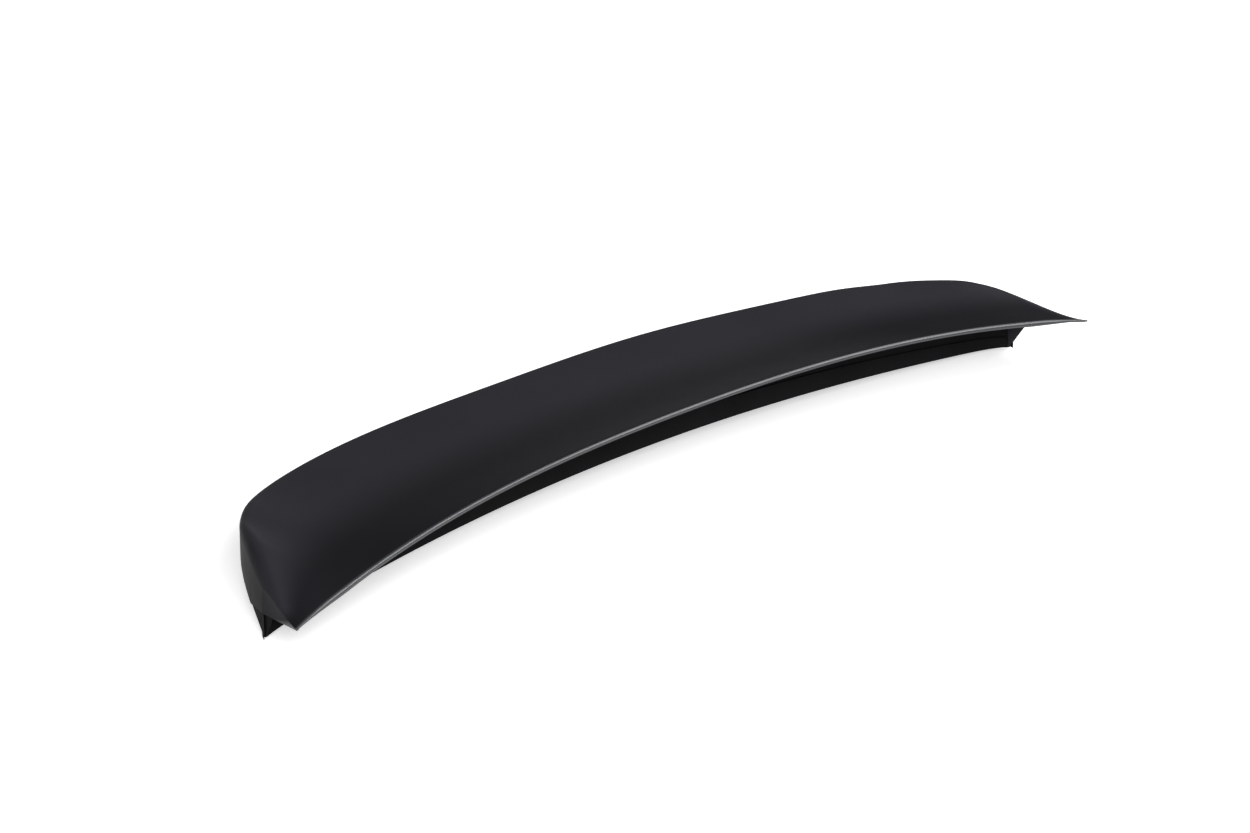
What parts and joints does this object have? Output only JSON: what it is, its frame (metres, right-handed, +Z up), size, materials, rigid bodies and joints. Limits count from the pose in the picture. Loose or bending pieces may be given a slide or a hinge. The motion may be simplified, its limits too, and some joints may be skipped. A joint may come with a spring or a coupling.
{
  "type": "rear wing",
  "caption": "Boot-lid rear wing: a thin moulded ducktail shell with a swept, kicked-up trailing lip, rounded front corners, an undercut rear wall and an open underside.",
  "frame": {"origin": "middle of the rear wall's bottom edge, where the shell sits on the boot lid", "axes": "+X along the span to the car's right side, +Y forward to the front of the car, +Z up"},
  "size_m": [1.3, 0.385, 0.0955],
  "materials": {
    "black_plastic": "satin"
  },
  "bodies": {
    "root": {"spoiler_shell": "black_plastic"}
  },
  "joints": []
}
